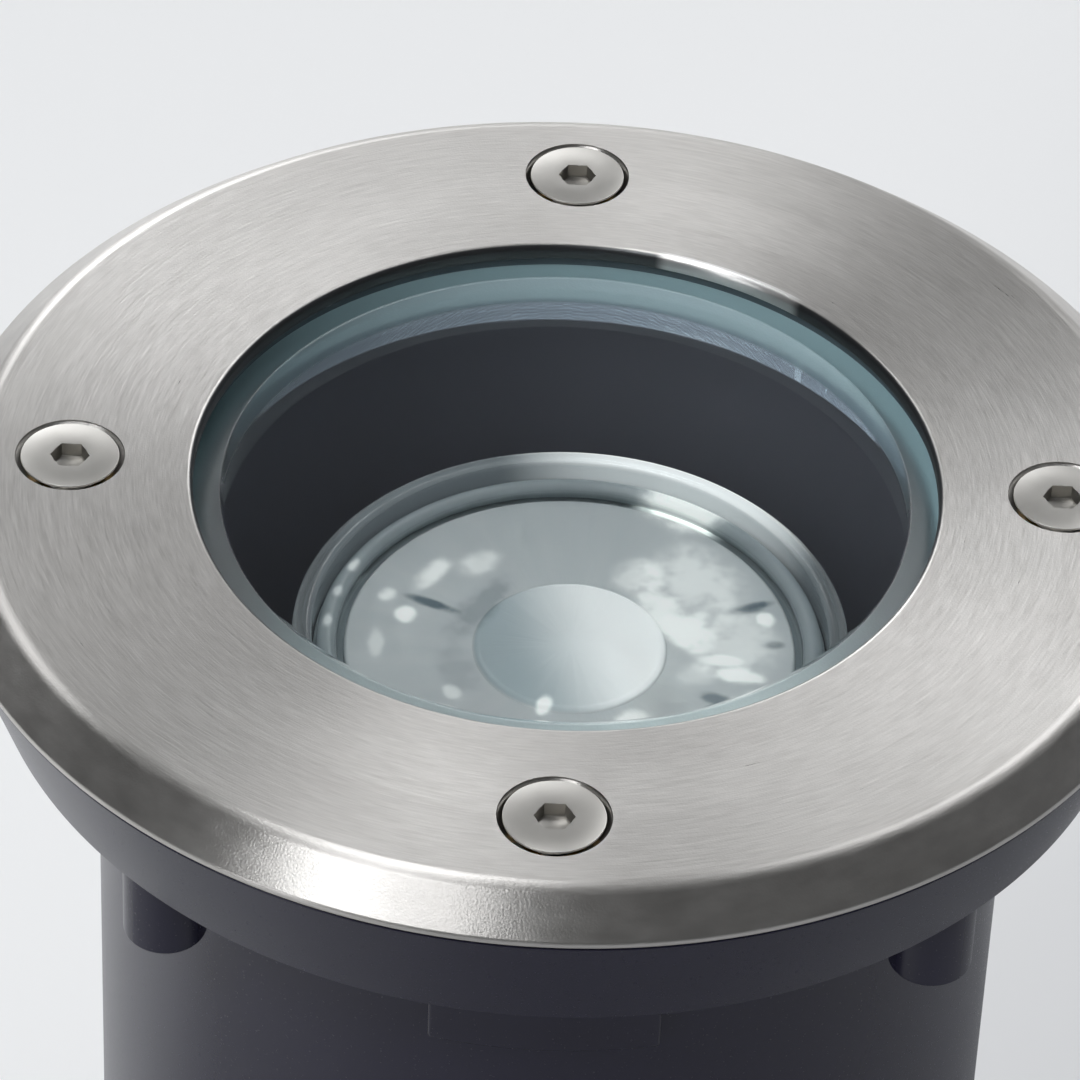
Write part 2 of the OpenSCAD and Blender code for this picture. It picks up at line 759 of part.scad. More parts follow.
// Moulded two pole block with a tower over each clamp screw
module terminal_block() {
    block_mid = block_y + block_l * half;
    color("#d9d6cc") difference() {
        union() {
            translate([lamp_offset - block_w * half, -block_y - block_l, block_z])
                cube([block_w, block_l, block_h]);
            at_poles() for (step = clamp_steps()) translate([0, -step, block_z + block_h])
                cylinder(d = tower_d, h = tower_h);
        }
        at_poles() {
            translate([0, over, bore_z]) rotate([quarter, 0, 0])
                cylinder(d = clamp_d, h = block_l + 2 * over);
            for (step = clamp_steps()) translate([0, -step, bore_z])
                cylinder(d = clamp_screw_d + 2 * edge_cut, h = block_h + tower_h);
        }
        translate([lamp_offset, -block_mid, block_z - over]) {
            cylinder(d = block_screw_d, h = block_h + 2 * over);
            translate([0, 0, over + block_h - block_screw_sink])
                cylinder(d = block_screw_head + edge_cut, h = block_screw_sink + over);
        }
    }
}

// Brass tubes that clamp the wires, drilled for their screws
module clamp_tubes() {
    color("#b5893f") at_poles() difference() {
        translate([0, -edge_cut, bore_z]) rotate([quarter, 0, 0])
            cylinder(d = clamp_d, h = block_l - 2 * edge_cut);
        translate([0, over, bore_z]) rotate([quarter, 0, 0])
            cylinder(d = clamp_bore, h = block_l + 2 * over);
        for (step = clamp_steps()) translate([0, -step, bore_z])
            cylinder(d = clamp_screw_d, h = clamp_d);
    }
}

// Four headless clamp screws, standing in their towers
module clamp_screws() {
    low = bore_z + lead_d * half;
    color("#c9c7c2") at_poles() for (step = clamp_steps())
        translate([0, -step, low]) difference() {
            cylinder(d = clamp_screw_d, h = clamp_screw_l);
            translate([0, 0, clamp_screw_l]) cross_slot(clamp_screw_d);
        }
}

// Screw that holds the block down on its post
module block_screw() {
    block_mid = block_y + block_l * half;
    under_head = block_z + block_h - block_screw_sink;
    color("#c9c7c2") translate([lamp_offset, -block_mid, under_head]) difference() {
        pan_screw(block_screw_d, block_screw_head, foot_head_h,
            block_h - block_screw_sink + block_post_h + floor_t * half);
        translate([0, 0, foot_head_h]) cross_slot(block_screw_head);
    }
}

// One insulated lead: down from a contact, leaning over to its pole, round a bend and into its
// clamp tube
module lead(side) {
    x = lamp_offset + side * pole_pitch * half;
    drop = cavity_z - bore_z - lead_bend;
    lean = atan(side * (pin_r - pole_pitch * half) / drop);
    translate([x, 0, bore_z + lead_bend]) rotate([0, lean, 0])
        cylinder(d = lead_d, h = drop / cos(lean) - lead_d * half * abs(tan(lean)));
    translate([x, -lead_bend, bore_z + lead_bend]) rotate([0, quarter, 0])
        rotate_extrude(angle = quarter) translate([lead_bend, 0]) circle(d = lead_d);
    translate([x, -lead_bend, bore_z]) rotate([quarter, 0, 0])
        cylinder(d = lead_d, h = block_y + block_l - lead_end - lead_bend);
}
module live_lead() { color("#6b3f22") lead(1); }
module neutral_lead() { color("#2f5f9e") lead(-1); }

// Gland body: stub through the floor, collar outside and a fingered neck
module gland_body() {
    neck_r_out = neck_d * half;
    color("#26262a") difference() {
        union() {
            translate([0, 0, collar_z - edge_cut])
                cylinder(d = gland_d, h = stub_top - collar_z + edge_cut);
            translate([0, 0, neck_z0]) hexagon(gland_af, collar_h);
            rotate_extrude() polygon([
                [0, neck_z0 + edge_cut], [neck_r_out, neck_z0 + edge_cut],
                [neck_r_out, neck_low + taper_h], [neck_r_out - finger_taper, neck_low], [0, neck_low]
            ]);
        }
        translate([0, 0, neck_low - over]) cylinder(d = seal_d, h = seal_h + over);
        translate([0, 0, neck_low]) cylinder(d = gland_bore, h = stub_top - neck_low + over);
        for (i = [0:finger_count - 1]) rotate([0, 0, (i + half) * full_turn / finger_count])
            translate([seal_d * half - over, -finger_slot * half, neck_low - over])
                cube([neck_d, finger_slot, finger_h + over]);
    }
}

// Soft washer between the collar and the floor
module gland_washer() {
    color("#2a2a2c") translate([0, 0, collar_z]) difference() {
        cylinder(d = washer_d, h = washer_t);
        translate([0, 0, -over]) cylinder(d = gland_d, h = washer_t + 2 * over);
    }
}

// Hexagon nut that holds the gland from inside
module gland_locknut() {
    color("#26262a") translate([0, 0, floor_z]) difference() {
        hexagon(locknut_af, locknut_h);
        translate([0, 0, -over]) cylinder(d = gland_d, h = locknut_h + 2 * over);
    }
}

// Rubber sleeve that closes on the cable
module gland_seal() {
    color("#3b3b3d") translate([0, 0, neck_low]) difference() {
        cylinder(d = seal_d, h = seal_h);
        translate([0, 0, -over]) cylinder(d = cable_d, h = seal_h + 2 * over);
    }
}

// Domed nut that squeezes the fingers onto the seal
module gland_nut() {
    bore_r = neck_d * half + thread_play;
    mouth_r2 = nut_mouth_d * half;
    corner_r = gland_af * half / cos(30);
    color("#26262a") difference() {
        intersection() {
            translate([0, 0, nut_low]) hexagon(gland_af, nut_z1 - nut_low);
            rotate_extrude() polygon([
                [0, nut_low], [bore_r, nut_low], [corner_r - dome_in, nut_low + dome_h * half],
                [corner_r, nut_low + dome_h], [corner_r, nut_z1], [0, nut_z1]
            ]);
        }
        rotate_extrude() polygon([
            [0, nut_low - over], [mouth_r2, nut_low - over], [mouth_r2, neck_low - dome_gap],
            [bore_r, neck_low - dome_gap], [bore_r, nut_z1 + over], [0, nut_z1 + over]
        ]);
    }
}

housing();
screw_inserts();
trim_ring();
glass_disc();
glass_gasket();
cover_screw_front();
cover_screw_right();
cover_screw_back();
cover_screw_left();
lamp_bowl();
lamp_lens();
lamp_led_board();
lamp_heatsink();
lamp_cap();
lamp_pins();
lampholder();
holder_contacts();
holder_bracket();
holder_screws();
bracket_screws();
terminal_block();
clamp_tubes();
clamp_screws();
block_screw();
live_lead();
neutral_lead();
gland_body();
gland_washer();
gland_locknut();
gland_seal();
gland_nut();
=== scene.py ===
# %% [markdown]
# # An in ground well light
#
# This light sits in a hole in a path and shines upwards. A brushed steel ring clamps thick glass
# onto a dark moulded can, and a small reflector lamp stands in the can. The measured model gives
# every size, so this lesson only adds the finer shapes and the finishes that a close picture needs.

# %% Load the measured model
import math

import bmesh
import bpy
from mathutils import Matrix, Vector


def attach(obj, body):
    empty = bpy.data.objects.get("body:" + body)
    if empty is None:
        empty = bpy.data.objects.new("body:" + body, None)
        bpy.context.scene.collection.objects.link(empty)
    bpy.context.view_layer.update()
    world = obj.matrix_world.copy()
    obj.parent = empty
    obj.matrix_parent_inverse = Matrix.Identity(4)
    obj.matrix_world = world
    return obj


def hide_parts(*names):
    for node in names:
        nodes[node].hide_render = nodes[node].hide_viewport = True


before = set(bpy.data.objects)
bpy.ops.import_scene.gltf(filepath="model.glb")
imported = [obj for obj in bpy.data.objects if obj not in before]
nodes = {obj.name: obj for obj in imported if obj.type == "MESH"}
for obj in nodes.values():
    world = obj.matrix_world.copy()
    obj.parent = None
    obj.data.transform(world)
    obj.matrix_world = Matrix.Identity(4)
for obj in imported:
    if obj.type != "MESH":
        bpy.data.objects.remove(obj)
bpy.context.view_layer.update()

# %% [markdown]
# ## The camera
#
# A long lens from about half a metre looks down at 40 degrees, so the circles become ellipses
# with almost no widening towards the front. The camera leans a little, and a small shift of the
# lens puts the light where the photograph has it, without turning the camera away from it.

# %% Set up the camera
MM = 0.001
TOP = 145
DISTANCE, ELEVATION, AZIMUTH, ROLL = 0.53858, 40.02, -0.45, 2.73
FOCAL_LENGTH, SENSOR = 206.26, 36
SHIFT_X, SHIFT_Y = -0.0247, -0.0594


def look_at_the_top(distance, elevation, azimuth, roll):
    """Where a camera stands that looks at the middle of the light's top from so many metres."""
    turn = Matrix.Rotation(math.radians(azimuth), 4, "Z")
    tilt = Matrix.Rotation(math.radians(90 - elevation), 4, "X")
    lean = Matrix.Rotation(math.radians(roll), 4, "Z")
    aim = turn @ tilt @ lean
    back = aim.to_3x3() @ Vector((0, 0, distance))
    return Matrix.Translation(Vector((0, 0, TOP * MM)) + back) @ aim


lens = bpy.data.cameras.new("camera")
lens.sensor_width = SENSOR
lens.lens = FOCAL_LENGTH
lens.shift_x = SHIFT_X
lens.shift_y = SHIFT_Y
lens.clip_start = 0.05
lens.clip_end = 30
camera = bpy.data.objects.new("camera", lens)
camera.matrix_world = look_at_the_top(DISTANCE, ELEVATION, AZIMUTH, ROLL)
bpy.context.scene.collection.objects.link(camera)
bpy.context.scene.camera = camera
print("camera at", [round(x, 3) for x in camera.matrix_world.translation])

# %% [markdown]
# ## A small language for finishes
#
# A finish is a tree of shader nodes, and most of it is arithmetic. One class stands for the output
# of a node and knows how to add, subtract, multiply and divide, so a mask reads like a formula.
# Every other node comes from one method, which takes the node's kind, its settings and its inputs.

# %% Wires and finishes
class Wire:
    """The output of a node, used in a formula like a number."""

    def __init__(self, finish, socket):
        self.finish = finish
        self.socket = socket

    def maths(self, operation, *values):
        inputs = {i: value for i, value in enumerate(values)}
        return self.finish.node("ShaderNodeMath", {"operation": operation}, inputs)

    def __add__(self, other):
        return self.maths("ADD", self, other)

    def __radd__(self, other):
        return self.maths("ADD", other, self)

    def __sub__(self, other):
        return self.maths("SUBTRACT", self, other)

    def __rsub__(self, other):
        return self.maths("SUBTRACT", other, self)

    def __mul__(self, other):
        return self.maths("MULTIPLY", self, other)

    def __rmul__(self, other):
        return self.maths("MULTIPLY", other, self)

    def __truediv__(self, other):
        return self.maths("DIVIDE", self, other)

    def __pow__(self, other):
        return self.maths("POWER", self, other)

    def within(self, low, high):
        """Runs smoothly from 0 at low to 1 at high."""
        settings = {"interpolation_type": "SMOOTHSTEP"}
        return self.finish.node("ShaderNodeMapRange", settings, {0: self, 1: low, 2: high})


class Finish:
    """A material, or the air round the light, whose nodes are made one by one."""

    def __init__(self, name, tree=None):
        if tree is None:
            self.material = bpy.data.materials.new(name)
            self.material.use_nodes = True
            tree = self.material.node_tree
        self.tree = tree
        self.tree.nodes.clear()

    def node(self, kind, settings=None, inputs=None, output=0):
        made = self.tree.nodes.new(kind)
        for key, value in (settings or {}).items():
            setattr(made, key, value)
        for key, value in (inputs or {}).items():
            if isinstance(value, Wire):
                self.tree.links.new(value.socket, made.inputs[key])
            else:
                made.inputs[key].default_value = value
        return Wire(self, made.outputs[output])

    def place(self):
        return self.node("ShaderNodeTexCoord", output="Object")

    def axes(self):
        """The three coordinates of the point, in metres."""
        split = self.node("ShaderNodeSeparateXYZ", inputs={0: self.place()})
        outputs = split.socket.node.outputs
        return [Wire(self, outputs[i]) for i in range(3)]

    def join(self, x, y, z):
        return self.node("ShaderNodeCombineXYZ", inputs={0: x, 1: y, 2: z})

    def noise(self, where, scale, detail=3, roughness=0.5):
        inputs = {"Vector": where, "Scale": scale, "Detail": detail, "Roughness": roughness}
        return self.node("ShaderNodeTexNoise", inputs=inputs)

    def mixed(self, share, first, second):
        settings = {"data_type": "RGBA"}
        return self.node("ShaderNodeMix", settings, {0: share, 6: first, 7: second}, 2)

    def bump(self, height, strength, distance):
        inputs = {"Height": height, "Strength": strength, "Distance": distance}
        return self.node("ShaderNodeBump", inputs=inputs)

    def done(self, **sockets):
        named = {key.replace("_", " "): value for key, value in sockets.items()}
        surface = self.node("ShaderNodeBsdfPrincipled", inputs=named)
        self.out("ShaderNodeOutputMaterial", surface)
        return self.material

    def out(self, kind, surface):
        end = self.tree.nodes.new(kind)
        self.tree.links.new(surface.socket, end.inputs["Surface"])


def shade(red, green, blue):
    """The colour that shows on a screen as these values from 0 to 255."""
    linear = []
    for value in (red, green, blue):
        part = value / 255
        linear.append(part / 12.92 if value < 11 else ((part + 0.055) / 1.055) ** 2.4)
    return (*linear, 1)


def beam(red, green, blue):
    """A colour of light, as the strengths of its three parts."""
    return (red, green, blue, 1)


def from_axis(x, y):
    """The distance of a point from the upright axis."""
    return (x * x + y * y) ** 0.5


DARK = beam(0, 0, 0)
print("white shows as", shade(255, 255, 255))

# %% [markdown]
# ## Brushed steel
#
# The ring was brushed while it turned, so its scratches run in circles. Noise that changes fast
# with the radius and slowly round the ring gives such scratches. The shader's own anisotropy
# stretches the highlights across them, which makes the light and dark fans of turned metal.
#
# The window's wall carries painted shade, darker than the brushed top, apart from one patch at the
# back right that carries a painted highlight. The sloping rim has a slightly coarser grain.

# %% Make the steel of the ring and the screws
def turned_grain(finish, fine, long):
    """Noise that is fine along the radius and long round the axis."""
    x, y, z = finish.axes()
    radius = from_axis(x, y)
    along = finish.join(x / radius * long, y / radius * long, radius * fine + z * fine)
    return finish.noise(along, 1.0, 2, 0.6)


def towards(x, y, radius, degrees):
    """Runs to 1 at an angle round the axis, as the cosine of the way there."""
    turn = math.radians(degrees)
    return (x * math.cos(turn) + y * math.sin(turn)) / radius


# The angle round the axis of the painted highlight on the window's edge.
PAINTED_HIGHLIGHT_AT = 64


def brushed_steel():
    finish = Finish("brushed_steel")
    x, y, z = finish.axes()
    radius = from_axis(x, y)
    # Painted highlight: a bright patch on the window's edge at the back right.
    painted_highlight = towards(x, y, radius, PAINTED_HIGHLIGHT_AT).within(0.974, 0.984)
    edge = 1 - radius.within(33.2 * MM, 33.3 * MM)
    # Painted shade: the window's wall just under the top is darker, except in that patch.
    window_painted_shade = edge * (1 - z.within(144.88 * MM, 144.98 * MM)) * (1 - painted_highlight)
    slope = radius.within(50.8 * MM, 51.8 * MM)
    lines = turned_grain(finish, 4600, 13) * 0.6 + turned_grain(finish, 9500, 22) * 0.4
    broad = turned_grain(finish, 1500, 4)
    cloud = finish.noise(finish.place(), 60, 2)
    grain = finish.noise(finish.place(), 5200, 2)
    tone = finish.mixed(lines * 0.7 + cloud * 0.3, shade(172, 169, 165), shade(240, 237, 233))
    # Painted shade darkens the wall, and the painted highlight brightens the patch.
    tone = finish.mixed(window_painted_shade, tone, shade(110, 112, 114))
    tone = finish.mixed(edge * painted_highlight, tone, shade(252, 251, 249))
    rough = 0.22 + lines * 0.12 + broad * 0.05
    height = lines * 0.7 + broad * 0.3 + grain * (0.3 + slope * 0.15)
    relief = finish.bump(height, 0.42, 0.00006)
    return finish.done(Base_Color=tone, Metallic=1.0, Roughness=rough, Normal=relief,
                       Anisotropic=0.8, Anisotropic_Rotation=0.25)


def screw_steel():
    finish = Finish("screw_steel")
    spots = finish.noise(finish.place(), 9000, 2)
    cloud = finish.noise(finish.place(), 420, 2)
    tone = finish.mixed(cloud, shade(182, 180, 175), shade(200, 197, 192))
    relief = finish.bump(spots, 0.05, 0.00002)
    return finish.done(Base_Color=tone, Metallic=1.0, Roughness=0.28 + spots * 0.06, Normal=relief)


steel_ring = brushed_steel()
steel_screw = screw_steel()
print("steel finishes:", steel_ring.name, steel_screw.name)

# %% [markdown]
# ## Moulded plastic, rubber and silicone
#
# The can is a tough plastic with glass fibre in it, which leaves a satin skin with a fine grain.
# Inside it is matt, and its colour is painted paler as painted light. The seal under the glass is
# milky silicone, painted paler and with a painted glow at the right and back, and with a painted
# shadow at its top. The other mouldings differ only in colour, gloss and grain, so one function
# makes them.

# %% Make the moulded finishes
def moulded(name, dark, pale, gloss, grain, depth):
    finish = Finish(name)
    fine = finish.noise(finish.place(), grain, 3, 0.6)
    cloud = finish.noise(finish.place(), grain / 30, 2)
    tone = finish.mixed(cloud, dark, pale)
    relief = finish.bump(fine, 0.2, depth)
    return finish.done(Base_Color=tone, Roughness=gloss + fine * 0.12, Normal=relief)


def can_finish():
    """Satin outside, and matt within the can, where its colour is painted paler as painted light.
    """
    finish = Finish("can_plastic")
    x, y, z = finish.axes()
    inside = 1 - from_axis(x, y).within(38.4 * MM, 38.8 * MM)
    fine = finish.noise(finish.place(), 3200, 3, 0.6)
    cloud = finish.noise(finish.place(), 100, 2)
    outside = finish.mixed(cloud, shade(43, 41, 63), shade(50, 48, 72))
    # Painted light: the can's inner wall is painted much paler than its outside.
    tone = finish.mixed(inside, outside, shade(142, 144, 156))
    relief = finish.bump(fine, 0.1, 0.00005)
    rough = 0.24 + fine * 0.05 + inside * 0.35
    return finish.done(Base_Color=tone, Roughness=rough, Normal=relief)


def seal_finish():
    """Milky silicone with painted light and glow at the right and back, also under the glass, and a
    painted shadow on top.
    """
    finish = Finish("milky_silicone")
    x, y, z = finish.axes()
    cloud = finish.noise(finish.place(), 60, 2)
    # Painted light: the seal is paler towards the right and back.
    bright = (x + y * 0.7 + cloud * 0.006).within(-0.025, 0.045)
    tone = finish.mixed(bright, shade(178, 190, 198), shade(224, 233, 240))
    # Painted shadow: the seal darkens towards its top, under the ring.
    upper = z.within(139.6 * MM, 141.8 * MM)
    tone = finish.mixed(upper, tone, shade(112, 128, 136))
    # Painted glow: the seal gives off light at the right and back, above and under the glass.
    painted_glow_above = finish.mixed(bright * (1 - upper), DARK, beam(0.42, 0.47, 0.51))
    under_glass = finish.mixed(bright, beam(0.05, 0.065, 0.072), beam(0.28, 0.34, 0.37))
    lit = finish.mixed(z.within(137.1 * MM, 137.3 * MM), under_glass, painted_glow_above)
    relief = finish.bump(finish.noise(finish.place(), 900, 2), 0.03, 0.00004)
    return finish.done(Base_Color=tone, Roughness=0.4 + cloud * 0.1, Normal=relief,
                       Emission_Color=lit, Emission_Strength=1.0)


can_plastic = can_finish()
milky_silicone = seal_finish()
black_rubber = moulded("black_rubber", shade(30, 30, 31), shade(42, 42, 43),
                       0.55, 2400, 0.00006)
gland_plastic = moulded("gland_plastic", shade(33, 33, 36), shade(43, 43, 47),
                        0.36, 2800, 0.00005)
block_plastic = moulded("block_plastic", shade(214, 210, 198), shade(226, 223, 213),
                        0.42, 1500, 0.00004)
cap_plastic = moulded("cap_plastic", shade(226, 224, 217), shade(238, 236, 231),
                      0.3, 1200, 0.00003)
white_ceramic = moulded("white_ceramic", shade(228, 226, 218), shade(240, 238, 233),
                        0.24, 1800, 0.00005)
brown_wire = moulded("brown_wire", shade(98, 56, 28), shade(116, 68, 38),
                     0.4, 1500, 0.00003)
blue_wire = moulded("blue_wire", shade(40, 82, 148), shade(54, 98, 166),
                    0.4, 1500, 0.00003)
board_white = moulded("board_white", shade(222, 222, 214), shade(236, 234, 226),
                      0.45, 2000, 0.00003)
print("moulded finishes:", can_plastic.name, milky_silicone.name, white_ceramic.name)

# %% [markdown]
# ## The plain metals inside
#
# Brass inserts and clamp tubes, a zinc plated bridge and an aluminium post hide in the can. They
# show only when the cover comes off, but each gets the mottled look of its own metal.

# %% Make the plain metals
def plain_metal(name, dark, pale, gloss, spread, scale):
    finish = Finish(name)
    cloud = finish.noise(finish.place(), scale, 3, 0.6)
    fine = finish.noise(finish.place(), scale * 9, 2)
    tone = finish.mixed(cloud, dark, pale)
    relief = finish.bump(cloud + fine * 0.5, 0.15, 0.00005)
    return finish.done(Base_Color=tone, Metallic=1.0, Roughness=gloss + cloud * spread,
                       Normal=relief)


brass = plain_metal("brass", shade(190, 152, 84), shade(218, 182, 112),
                    0.22, 0.16, 420)
zinc_plate = plain_metal("zinc_plate", shade(176, 178, 180), shade(206, 207, 208),
                         0.26, 0.22, 260)
spring_bronze = plain_metal("spring_bronze", shade(196, 150, 92), shade(216, 174, 116),
                            0.22, 0.14, 500)
aluminium = plain_metal("aluminium", shade(188, 190, 192), shade(212, 213, 214),
                        0.3, 0.16, 300)
print("metals:", [m.name for m in (brass, zinc_plate, spring_bronze, aluminium)])

# %% [markdown]
# ## Glass
#
# The cover glass is clear. Its edge was ground to a slope and left matt, so the finish reads the
# distance from the axis and turns rough and greener past the edge of the polished face. The
# lamp's bowl is clear too. Its glass is painted darker as painted shade, apart from the outer edge
# of its rim, and the rim has a painted glow that is strongest at the back right.
#
# The lens is milky. Its bright patches are painted highlights with a painted glow, and the dark
# gaps are painted shade, standing for facets deep in it. Here each patch is a soft spot at an angle
# and a distance from the lamp's axis, with a reach along the radius, a width across it and a power.
# Noise makes its outline ragged.

# %% Make the glasses
LAMP_X, LENS = 1.0, 122.3


def cover_glass():
    finish = Finish("cover_glass")
    x, y, z = finish.axes()
    ground = from_axis(x, y).within(29.9 * MM, 30.3 * MM)
    grit = finish.noise(finish.place(), 4200, 2)
    tone = finish.mixed(ground, shade(253, 254, 254), shade(168, 190, 191))
    relief = finish.bump(grit * ground, 0.3, 0.00006)
    return finish.done(Base_Color=tone, Roughness=ground * (0.3 + grit * 0.15), Normal=relief,
                       Transmission_Weight=1.0, IOR=1.5)


# The angle round the lamp where the painted glow in the rim is strongest.
RIM_LIT_AT = 66


def clear_glass():
    """The glass of the lamp's bowl, with painted shade short of its rim's edge and a painted glow
    in the rim.
    """
    finish = Finish("lamp_glass")
    x, y, z = finish.axes()
    x = x - LAMP_X * MM
    radius = from_axis(x, y)
    # Painted shade: the bowl's glass is darker, except at the outer edge of its rim.
    clear_of_painted_shade = radius.within(23.9 * MM, 24.3 * MM)
    waves = finish.noise(finish.place(), 300, 2)
    clear = finish.mixed(waves, shade(232, 240, 238), shade(250, 252, 252))
    tone = finish.mixed(clear_of_painted_shade, shade(160, 172, 176), clear)
    # Painted glow in the rim, strongest towards the back right.
    facing = towards(x, y, radius, RIM_LIT_AT).within(0.74, 1.0)
    brim = radius.within(22.9 * MM, 23.2 * MM) * z.within(120.5 * MM, 122 * MM)
    rim_painted_glow = finish.mixed(facing, beam(0.07, 0.08, 0.085), beam(0.54, 0.56, 0.56))
    lit = finish.mixed(brim, DARK, rim_painted_glow)
    relief = finish.bump(waves, 0.05, 0.0001)
    return finish.done(Base_Color=tone, Roughness=0.02 + waves * 0.02, Normal=relief,
                       Emission_Color=lit, Emission_Strength=1.0, Transmission_Weight=0.86,
                       IOR=1.49)


# Each spot: angle, distance from the lamp's axis, reach, width (millimetres) and power.
# Painted highlights with a painted glow, where light from the facets would show.
GLINTS = [
    (63, 22.0, 4.4, 6.5, 1.0), (30, 9.9, 2.6, 6.5, 0.8), (5, 15, 6, 7, 0.55),
    (42, 15, 6, 8, 0.6), (15, 18.2, 1.2, 1.4, 0.9), (349, 15.5, 3.2, 1.5, 1.0),
    (356, 13.5, 2.5, 1.0, 0.8), (342, 18.0, 2.2, 1.2, 0.7), (128, 13.8, 2.4, 3.4, 0.55),
    (144, 15.6, 1.7, 4.0, 0.75), (167, 15.2, 1.5, 1.7, 1.0), (160, 17.6, 1.3, 1.5, 0.7),
    (182, 17.3, 1.2, 3.0, 0.45), (213, 12.2, 1.3, 1.8, 0.5), (255, 8.2, 1.8, 1.1, 1.0),
    (302, 11, 2.4, 2.6, 0.8), (14, 11, 3.4, 3.8, 0.7), (60, 11.5, 3.6, 3.4, 0.55),
    (345, 11.5, 2.6, 2.4, 0.4), (335, 16.4, 1.8, 1.8, 0.5), (156, 21.6, 0.8, 1.4, 0.6),
    (166, 21.6, 0.8, 1.2, 0.5), (177, 21.7, 0.8, 1.4, 0.5),
]
# Painted shade, where the facets would leave dark gaps.
SHADOWS = [
    (21, 17.2, 3.2, 1.0, 1.0), (4, 18.2, 1.6, 0.9, 0.8), (158, 13.6, 3.6, 0.9, 0.9),
    (335, 14.5, 3, 1.2, 0.7), (150, 9.5, 2.8, 7.5, 0.45), (200, 10.5, 3.2, 5.0, 0.3),
]


def soft_spots(finish, ragged, spots):
    """The sum of ragged balls, each stretched along and across the lamp's radius."""
    total = 0.0
    for angle, middle, reach, width, power in spots:
        turn = math.radians(angle)
        across, along = math.cos(turn) * middle, math.sin(turn) * middle
        inputs = {"Vector": finish.place(), "Location": Vector((LAMP_X + across, along, LENS)) * MM,
                  "Rotation": (0, 0, turn), "Scale": (reach * MM, width * MM, 1)}
        local = finish.node("ShaderNodeMapping", {"vector_type": "TEXTURE"}, inputs)
        settings = {"gradient_type": "SPHERICAL"}
        ball = finish.node("ShaderNodeTexGradient", settings, {0: local}, 1)
        total = (ball * (ragged * 1.5 + 0.25)).within(0.04, 0.75) * power + total
    return total


def lens_finish():
    """Milky plastic, a paler disc painted lit on its right, and painted highlights, glow and shade
    in patches and grooves.
    """
    finish = Finish("lens_milky")
    x, y, z = finish.axes()
    x = x - LAMP_X * MM
    radius = from_axis(x, y)
    round_it = finish.join(x / radius * 9, y / radius * 9, radius * 60)
    streaks = finish.noise(round_it, 1.0, 3, 0.7)
    ragged = finish.noise(finish.place(), 600, 2)
    bright = soft_spots(finish, ragged, GLINTS).within(0, 1)
    gloom = soft_spots(finish, ragged, SHADOWS).within(0, 1)

    disc = 1 - radius.within(8.4 * MM, 8.7 * MM)
    # Painted light: the disc is paler and glows on its right side.
    bright_side = (x + y * 0.3 + streaks * 0.002).within(-0.005, 0.006)
    bead = radius.within(20.3 * MM, 20.6 * MM)
    # Painted shade: the grooves on either side of the bead are darker.
    inner_groove = radius.within(20 * MM, 20.2 * MM) * (1 - radius.within(20.6 * MM, 21 * MM))
    groove = inner_groove + radius.within(22.6 * MM, 23 * MM)

    disc_tone = finish.mixed(bright_side, shade(208, 225, 229), shade(246, 250, 249))
    tone = finish.mixed(streaks, shade(226, 236, 237), shade(244, 249, 249))
    tone = finish.mixed(disc, tone, disc_tone)
    tone = finish.mixed(gloom, tone, shade(120, 138, 148))
    tone = finish.mixed(bright, tone, shade(246, 250, 248))
    tone = finish.mixed(bead * (1 - bright), tone, shade(186, 198, 201))
    tone = finish.mixed(groove, tone, shade(150, 164, 168))

    # Painted glow on the disc's right side and in the bright patches, none in the grooves.
    disc_light = finish.mixed(disc * bright_side, DARK, beam(0.32, 0.34, 0.34))
    lit = finish.mixed(bright * (1 - groove), disc_light, beam(0.36, 0.38, 0.37))
    rough = 0.12 + streaks * 0.12 + groove * 0.4
    relief = finish.bump(streaks, 0.2, 0.0002)
    return finish.done(Base_Color=tone, Roughness=rough, Normal=relief, Emission_Color=lit,
                       Emission_Strength=1.0, Transmission_Weight=0.1, IOR=1.49)


glass_cover = cover_glass()
lamp_glass = clear_glass()
lens_milky = lens_finish()
print("glasses:", glass_cover.name, lamp_glass.name, lens_milky.name)

# %% [markdown]
# ## Turning an outline on a lathe
#
# Nearly every piece of this light is round. Half of its section is drawn as a face, its corners
# are rounded with a bevel, and the outline is spun about the axis. Corners rounded before the
# spin give each edge the small bright line that real edges show. Weighted normals keep the flat
# faces flat right up to those edges.

# %% Lathe tools
SPECK = 1e-6


def section(mesh, points, rounds=()):
    """A closed outline of points (radius, height), with the corners listed in rounds rounded."""
    corners = [mesh.verts.new((r * MM, 0, h * MM)) for r, h in points]
    mesh.faces.new(corners)
    for index, size, segments in rounds:
        bmesh.ops.bevel(mesh, geom=[corners[index]], offset=size * MM, offset_type="OFFSET",
                        segments=segments, profile=0.5, affect="VERTICES", material=-1)
    return mesh


def spin(mesh, steps):
    """Spins everything in the mesh once round the Z axis and closes the poles."""
    bmesh.ops.delete(mesh, geom=mesh.faces[:], context="FACES_ONLY")
    on_axis = [e for e in mesh.edges if all(abs(v.co.x) < 1e-7 for v in e.verts)]
    bmesh.ops.delete(mesh, geom=on_axis, context="EDGES")
    bmesh.ops.spin(mesh, geom=mesh.edges[:] + mesh.verts[:], cent=(0, 0, 0), axis=(0, 0, 1),
                   angle=math.tau, steps=steps, use_merge=True)
    bmesh.ops.remove_doubles(mesh, verts=mesh.verts[:], dist=2 * SPECK)
    bmesh.ops.recalc_face_normals(mesh, faces=mesh.faces[:])
    return mesh


def rotated(mesh, radians, axis="Z"):
    """Turns the mesh about an axis through the origin."""
    turn = Matrix.Rotation(radians, 3, axis)
    bmesh.ops.rotate(mesh, cent=(0, 0, 0), matrix=turn, verts=mesh.verts[:])
    return mesh


